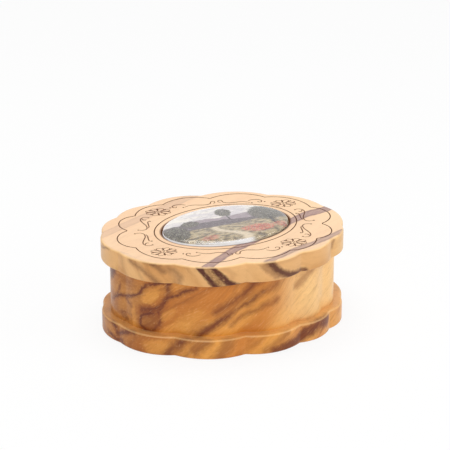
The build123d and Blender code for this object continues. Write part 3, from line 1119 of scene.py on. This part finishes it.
END_SCROLL = Scroll(
    lines=(
        ((31.0, 1.4), (30.0, 1.1), (29.0, 1.1), (28.0, 1.9), (27.7, 3.2), (27.8, 4.8), (28.3, 6.4),
         (28.9, 8.2), (29.2, 9.8), (28.9, 11.2), (28.0, 12.1), (26.9, 12.2), (26.1, 11.7)),
        ((27.3, 2.6), (26.9, 4.0), (26.9, 5.6), (26.9, 7.2), (26.7, 8.3), (26.0, 8.5)),
        ((28.6, 11.3), (28.3, 10.2), (27.6, 9.7), (27.1, 10.1)),
    ),
    dots=((31.0, 1.4), (26.1, 11.7), (26.0, 8.5)),
    right_shift=(0.8, -0.4),
    left_shift=(-0.8, 0.6),
)

SIDE_SCROLL = Scroll(
    lines=(
        ((1.9, 22.0), (1.2, 22.6), (1.1, 23.5), (1.9, 24.0), (2.6, 23.4), (2.7, 22.4), (3.6, 21.5),
         (5.2, 21.1), (7.0, 21.3), (8.8, 21.6), (10.4, 21.4), (11.6, 20.8), (12.4, 20.2)),
        ((11.8, 22.0), (13.2, 22.7), (14.7, 22.8), (16.0, 22.3), (16.7, 21.3), (16.3, 20.3),
         (15.4, 20.3), (15.2, 21.1)),
    ),
    dots=((12.9, 20.0), (17.6, 20.4)),
    left_shift=(-1.0, -0.5),
)


@dataclass
class EngravedLid:
    """The lid's plate, with four rosettes and eight scrolls cut into its top, in mm.

    The drawing repeats after half a turn about its own middle, and it lies a little askew. A
    petal's places and a wedge's are shares of its reach. Slopes are heights of face normals:
    a groove's wall is below the first, and a level floor is above the second.
    """

    scrolls: tuple[Scroll, ...] = (END_SCROLL, SIDE_SCROLL)
    rosettes: tuple[Point, ...] = ((23.85, 17.6), (-21.3, 16.75))
    shift: Point = (0.93, 0.325)
    turn: float = -4.7
    line_radius: float = 0.2
    dot_radius: float = 0.34
    line_fade: float = 0.45
    step: float = 0.45
    petals: int = 8
    petal_reach: float = 3.3
    petal_width: float = 0.95
    petal_stretch: float = 1.42
    petal_line: float = 0.15
    petal_root: float = 0.2
    petal_swell: Point = (0.5, 0.95)
    wedge_span: Point = (0.36, 0.98)
    wedge_radius: float = 0.3
    recess_half: Point = (24.5, 17.0)
    recess_depth: float = 1.2
    groove_half: Point = (41.5, 30.5)
    groove_depth: float = 0.3
    depth_margin: float = 0.01
    slopes: Point = (0.3, 0.999)
    crease_angle: float = 32.0
    finish: OliveWood = LID_WOOD
    burn: BurntLine = BurntLine()

    def _drawing(self) -> bpy.types.Mesh:
        """Scroll lines as edges and dots as loose points, for the half towards the hinge."""
        drawing = bmesh.new()
        for scroll in self.scrolls:
            for mirrored in (False, True):
                lines, dots = scroll.placed(mirrored)
                for line in lines:
                    corners = [drawing.verts.new((x, y, 0.0)) for x, y in line]
                    for start, end in zip(corners, corners[1:]):
                        drawing.edges.new((start, end))
                for x, y in dots:
                    drawing.verts.new((x, y, 0.0))
        return plain_mesh(drawing, "scroll_drawing")

    def _scroll_cutter(self, burnt: bpy.types.Material) -> bpy.types.Mesh:
        """Grow the scrolls' grooves from their drawing."""
        recipe = Recipe("engraved_scrolls", {"Line Radius": self.line_radius,
                                             "Dot Radius": self.dot_radius, "Step": self.step})
        drawing = recipe.given("Geometry")
        curve = recipe.node("GeometryNodeMeshToCurve", {}, {"Mesh": drawing})
        bent = recipe.node("GeometryNodeCurveSplineType", {"spline_type": "CATMULL_ROM"},
                           {"Curve": curve})
        even = recipe.node("GeometryNodeResampleCurve", {"mode": "LENGTH"},
                           {"Curve": bent, "Length": recipe.given("Step")})
        grooves = recipe.graver(even, recipe.given("Line Radius"), self.line_fade)
        neighbours = recipe.node("GeometryNodeInputMeshVertexNeighbors", output="Vertex Count")
        spots = recipe.node("GeometryNodeMeshToPoints", {}, {
            "Mesh": drawing, "Selection": recipe.maths("LESS_THAN", neighbours, 0.5)})
        bead = recipe.node("GeometryNodeMeshIcoSphere", {}, {
            "Radius": recipe.given("Dot Radius"), "Subdivisions": 2})
        dots = recipe.node("GeometryNodeInstanceOnPoints", {}, {"Points": spots, "Instance": bead})
        recipe.finish(recipe.wheel(recipe.join(grooves, dots), 2), burnt)
        return recipe.grow(self._drawing())

    def _rosette_cutter(self, burnt: bpy.types.Material) -> bpy.types.Mesh:
        """Grow the rosettes' grooves: pointed petals in outline, with a dark wedge between two."""
        recipe = Recipe("engraved_rosettes", {
            "Petals": self.petals, "Reach": self.petal_reach, "Petal Width": self.petal_width,
            "Stretch": self.petal_stretch, "Line Radius": self.petal_line,
            "Wedge Radius": self.wedge_radius})
        reach = recipe.given("Reach")
        width = recipe.given("Petal Width")

        def stretched(curve: Signal) -> Signal:
            """Draw the flower out sideways before it is cut."""
            real = recipe.node("GeometryNodeRealizeInstances", {}, {"Geometry": curve})
            wide = recipe.combine(recipe.given("Stretch"), 1.0, 1.0)
            return recipe.node("GeometryNodeTransform", {}, {"Geometry": real, "Scale": wide})

        side = recipe.node("GeometryNodeCurvePrimitiveBezierSegment", {"mode": "POSITION"}, {
            "Resolution": 8, "Start": recipe.combine(reach * self.petal_root, 0.0, 0.0),
            "Start Handle": recipe.combine(reach * self.petal_swell[0], width, 0.0),
            "End Handle": recipe.combine(reach * self.petal_swell[1], width, 0.0),
            "End": recipe.combine(reach, 0.0, 0.0)})
        other = recipe.node("GeometryNodeTransform", {}, {"Geometry": side,
                                                          "Scale": (1.0, -1.0, 1.0)})
        petals = stretched(recipe.wheel(recipe.join(side, other), recipe.given("Petals"), 0.5))
        outline = recipe.graver(petals, recipe.given("Line Radius"), 0.2)
        spoke = recipe.node("GeometryNodeCurvePrimitiveLine", {"mode": "POINTS"}, {
            "Start": recipe.combine(reach * self.wedge_span[0], 0.0, 0.0),
            "End": recipe.combine(reach * self.wedge_span[1], 0.0, 0.0)})
        spokes = recipe.node("GeometryNodeResampleCurve", {"mode": "COUNT"}, {
            "Curve": stretched(recipe.wheel(spoke, recipe.given("Petals"))), "Count": 7})
        wedges = recipe.graver(spokes, recipe.given("Wedge Radius"), 0.95)
        eye = recipe.node("GeometryNodeMeshIcoSphere", {}, {
            "Radius": recipe.given("Wedge Radius"), "Subdivisions": 2})
        spots = recipe.node("GeometryNodeMeshToPoints", {}, {"Mesh": recipe.given("Geometry")})
        flowers = recipe.node("GeometryNodeInstanceOnPoints", {}, {
            "Points": spots, "Instance": recipe.join(outline, wedges, eye)})
        recipe.finish(recipe.wheel(flowers, 2), burnt)
        seeds = bmesh.new()
        for x, y in self.rosettes:
            seeds.verts.new((x, y, 0.0))
        return recipe.grow(plain_mesh(seeds, "rosette_places"))

    def _cutter(self, burnt: bpy.types.Material, top: float) -> bpy.types.Object:
        """Lay both cutters on the lid's top.

        Args:
            burnt: Material of the cut faces.
            top: Height of the lid's top, in metres.

        Returns:
            The cutter, which is removed once it has cut.
        """
        both = bmesh.new()
        both.from_mesh(self._scroll_cutter(burnt))
        both.from_mesh(self._rosette_cutter(burnt))
        spot = Matrix.Translation((self.shift[0] * MM, self.shift[1] * MM, top))
        turn = Matrix.Rotation(math.radians(self.turn), 4, "Z")
        both.transform(spot @ turn @ Matrix.Scale(MM, 4))
        bmesh.ops.recalc_face_normals(both, faces=both.faces)
        mesh = plain_mesh(both, "engraving_cutter")
        mesh.materials.append(burnt)
        return mesh_object("engraving_cutter", mesh)

    def _char(self, plate: bmesh.types.BMesh, top: float) -> None:
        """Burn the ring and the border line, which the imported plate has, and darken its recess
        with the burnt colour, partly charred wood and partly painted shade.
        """
        middle = Vector((*RECESS_MIDDLE, 0.0)) * MM
        back = Matrix.Rotation(math.radians(-RECESS_TURN), 3, "Z")

        def within(spot: Vector, half: Point) -> bool:
            """Whether a place is inside an oval about the origin."""
            return math.hypot(spot.x / half[0], spot.y / half[1]) < MM

        for face in plate.faces:
            centre = face.calc_center_median()
            depth = (top - centre.z) * PER_METRE
            slope = abs(face.normal.z)
            level = slope > self.slopes[1] and depth > self.depth_margin
            cut = slope < self.slopes[0] or level
            in_recess = within(back @ (centre - middle), self.recess_half)
            shallow = depth < self.groove_depth + self.depth_margin
            in_groove = within(centre, self.groove_half) and shallow
            # The recess's walls and floor take the burnt material: partly charred wood, partly
            # painted shade in the recess.
            if cut and (in_groove or in_recess and depth < self.recess_depth):
                face.material_index = 1

    def build(self) -> bpy.types.Object:
        """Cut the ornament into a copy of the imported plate, and dress it.

        Returns:
            The finished lid plate.
        """
        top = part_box("lid_plate")[1].z
        burnt = self.burn.material()
        plate = node_copy("lid_plate")
        self._char(plate, top)
        carrier = mesh_object("lid_blank", plain_mesh(plate, "lid_blank"))
        carrier.data.materials.append(self.finish.material())
        carrier.data.materials.append(burnt)
        cutter = self._cutter(burnt, top)
        cut = carrier.modifiers.new("engraving", "BOOLEAN")
        cut.operation = "DIFFERENCE"
        cut.solver = "EXACT"
        cut.use_self = True
        cut.material_mode = "TRANSFER"
        cut.object = cutter
        mesh = evaluated_mesh(carrier)
        bpy.data.objects.remove(cutter)
        piece = mesh_object("engraved_lid", shaded(mesh, self.crease_angle))
        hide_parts("lid_plate")
        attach(piece, Body.LID.value)
        log.info("%s: %d faces", piece.name, len(piece.data.polygons))
        return piece


def shaded(mesh: bpy.types.Mesh, crease_angle: float, level: float = 0.9999) -> bpy.types.Mesh:
    """Shade a mesh smoothly, with creases kept and level faces left truly flat.

    Args:
        mesh: The mesh, which is used up.
        crease_angle: Edges that turn by more than this many degrees stay sharp.
        level: A face counts as level where its normal's height is above this.

    Returns:
        The shaded mesh.
    """
    mesh.shade_smooth()
    mesh.set_sharp_from_angle(angle=math.radians(crease_angle))
    carrier = mesh_object("shading", mesh)
    weights = carrier.modifiers.new("weights", "WEIGHTED_NORMAL")
    weights.keep_sharp = True
    smooth = evaluated_mesh(carrier)
    normals = [corner.vector.copy() for corner in smooth.corner_normals]
    for face in smooth.polygons:
        if abs(face.normal.z) > level:
            for corner in face.loop_indices:
                normals[corner] = face.normal.copy()
    smooth.normals_split_custom_set(normals)
    return smooth


@dataclass
class PictureInset:
    """The printed plaque and the resin cap over it. The print stands in the resin."""

    print_lift: float = 0.04
    crease_angle: float = 40.0
    view: PrintedView = PrintedView()
    resin: ClearResin = ClearResin()

    def build(self) -> bpy.types.Object:
        """Make the plaque with its print, and dress the cap.

        Returns:
            The finished plaque.
        """
        plaque = node_copy("picture_plaque")
        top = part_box("picture_plaque")[1].z
        for corner in plaque.verts:
            if corner.co.z > top - 1e-6:
                corner.co.z += self.print_lift * MM
        mesh = shaded(plain_mesh(plaque, "printed_plaque"), self.crease_angle)
        piece = mesh_object("printed_plaque", mesh)
        mesh.materials.append(self.view.material())
        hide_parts("picture_plaque")
        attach(piece, Body.LID.value)
        dress("resin_dome", self.resin.material())
        return piece


@dataclass
class ButtHinge:
    """The brass leaves, their screws and the steel pin."""

    leaves: tuple[str, ...] = ("hinge_body_leaf", "hinge_lid_leaf")
    screws: tuple[str, ...] = ("body_screw_left", "body_screw_right", "lid_screw_left",
                               "lid_screw_right")
    brass: Metal = BRASS
    steel: Metal = PIN_STEEL

    def build(self) -> None:
        """Dress the hinge."""
        brass = self.brass.material()
        for node in self.leaves + self.screws:
            dress(node, brass)
        dress("hinge_pin", self.steel.material())


@dataclass
class MagnetCatch:
    """The two disc magnets at the front."""

    discs: tuple[str, ...] = ("body_magnet", "lid_magnet")
    nickel: Metal = NICKEL

    def build(self) -> None:
        """Dress the magnets."""
        nickel = self.nickel.material()
        for node in self.discs:
            dress(node, nickel)


# ---- studio ----

@dataclass(frozen=True)
class Softbox:
    """A square softbox, in metres and watts."""

    name: str
    place: Triple
    size: float
    watts: float

    def hang(self, aim: Triple) -> None:
        """Hang the softbox, so that it points at aim."""
        data = bpy.data.lights.new(self.name, "AREA")
        data.shape = "SQUARE"
        data.size = self.size
        data.energy = self.watts
        lamp = placed(self.name, data)
        lamp.location = self.place
        direction = Vector(aim) - Vector(self.place)
        lamp.rotation_euler = direction.to_track_quat("-Z", "Y").to_euler()


@dataclass
class Studio:
    """Camera, lamps and white surroundings. The camera stands where the photograph's did.

    The level is the strength of the white round the box as a lamp. The floor reaches so many
    metres each way, and its glow is the share of plain white in what the camera sees of it.
    """

    azimuth: float = -13.7
    elevation: float = 23.5
    distance: float = 812.0
    pixels_per_mm: float = 2.869
    frame_pixels: int = 450
    sensor: float = 36.0
    target_pixel: Point = (222.6, 227.6)
    softboxes: tuple[Softbox, ...] = (
        Softbox("overhead_softbox", (-0.05, 0.05, 0.75), 0.55, 3.4),
        Softbox("front_softbox", (-0.25, -0.65, 0.35), 0.45, 1.5),
        Softbox("right_softbox", (0.65, -0.30, 0.28), 0.40, 1.5),
    )
    softbox_aim: Triple = (0.0, 0.0, 0.02)
    level: float = 0.45
    floor_reach: float = 3.0
    floor_glow: float = 0.86
    floor_paper: Colour = (0.86, 0.86, 0.86, 1.0)

    def camera(self) -> bpy.types.Object:
        """Make the camera, aimed at the middle of the lid's top.

        Returns:
            The camera object, which is also the scene's camera.
        """
        around = math.radians(self.azimuth)
        above = math.radians(self.elevation)
        back = Vector((math.sin(around) * math.cos(above),
                       -math.cos(around) * math.cos(above), math.sin(above)))
        target = Vector((0.0, 0.0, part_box("lid_plate")[1].z))
        data = bpy.data.cameras.new("camera")
        data.sensor_width = self.sensor
        data.lens = self.pixels_per_mm * self.distance * self.sensor / self.frame_pixels
        middle = self.frame_pixels / 2
        data.shift_x = (middle - self.target_pixel[0]) / self.frame_pixels
        data.shift_y = (self.target_pixel[1] - middle) / self.frame_pixels
        data.clip_start = 0.01
        camera = placed("camera", data)
        camera.location = target + back * self.distance * MM
        camera.rotation_euler = (-back).to_track_quat("-Z", "Y").to_euler()
        bpy.context.scene.camera = camera
        return camera

    @staticmethod
    def _white_to_rays(paint: Graph) -> Signal:
        """A factor that is 1 for rays that see the backdrop itself."""
        seen = paint.node("ShaderNodeLightPath", output="Is Camera Ray")
        glossy = paint.node("ShaderNodeLightPath", output="Is Glossy Ray")
        through = paint.node("ShaderNodeLightPath", output="Is Transmission Ray")
        return paint.maths("MAXIMUM", paint.maths("MAXIMUM", seen, glossy), through)

    def world(self) -> None:
        """Surround the box with white that lights it softly."""
        world = bpy.data.worlds.new("white_studio")
        world.use_nodes = True
        bpy.context.scene.world = world
        graph = Graph(world.node_tree)
        graph.tree.nodes.clear()
        strength = self._white_to_rays(graph) * (1.0 - self.level) + self.level
        white = graph.node("ShaderNodeBackground", {}, {0: WHITE, 1: strength})
        output = graph.tree.nodes.new("ShaderNodeOutputWorld")
        graph.tree.links.new(white.socket, output.inputs["Surface"])

    def floor(self) -> None:
        """Lay a white floor that keeps a faint shadow of the box."""
        reach = self.floor_reach
        mesh = bpy.data.meshes.new("studio_floor")
        corners = [(-reach, -reach, 0), (reach, -reach, 0), (reach, reach, 0), (-reach, reach, 0)]
        mesh.from_pydata(corners, [], [(0, 1, 2, 3)])
        floor = placed("studio_floor", mesh)
        paint = Paint("white_paper")
        paper = paint.node("ShaderNodeBsdfDiffuse", {}, {"Color": self.floor_paper})
        light = paint.node("ShaderNodeEmission", {}, {"Color": WHITE})
        share = self._white_to_rays(paint) * self.floor_glow
        mesh.materials.append(paint.close(
            paint.node("ShaderNodeMixShader", {}, {0: share, 1: paper, 2: light})))

    def build(self) -> None:
        """Set up the whole studio."""
        bpy.context.scene.view_settings.view_transform = "Standard"
        self.camera()
        for softbox in self.softboxes:
            softbox.hang(self.softbox_aim)
        self.world()
        self.floor()
        log.info("studio ready")


def dress(node: str, material: bpy.types.Material) -> None:
    """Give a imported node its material.

    Args:
        node: The node's name.
        material: What it is made of.
    """
    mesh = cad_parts[node].data
    mesh.materials.clear()
    mesh.materials.append(material)
    log.info("%s dressed in %s", node, material.name)


def main() -> None:
    """Build the studio and dress the box, piece by piece."""
    logging.basicConfig(level=logging.INFO, format="%(name)s: %(message)s")
    Studio().build()
    dress("base_block", BODY_WOOD.material())
    EngravedLid().build()
    PictureInset().build()
    ButtHinge().build()
    MagnetCatch().build()


if __name__ == "__main__":
    main()
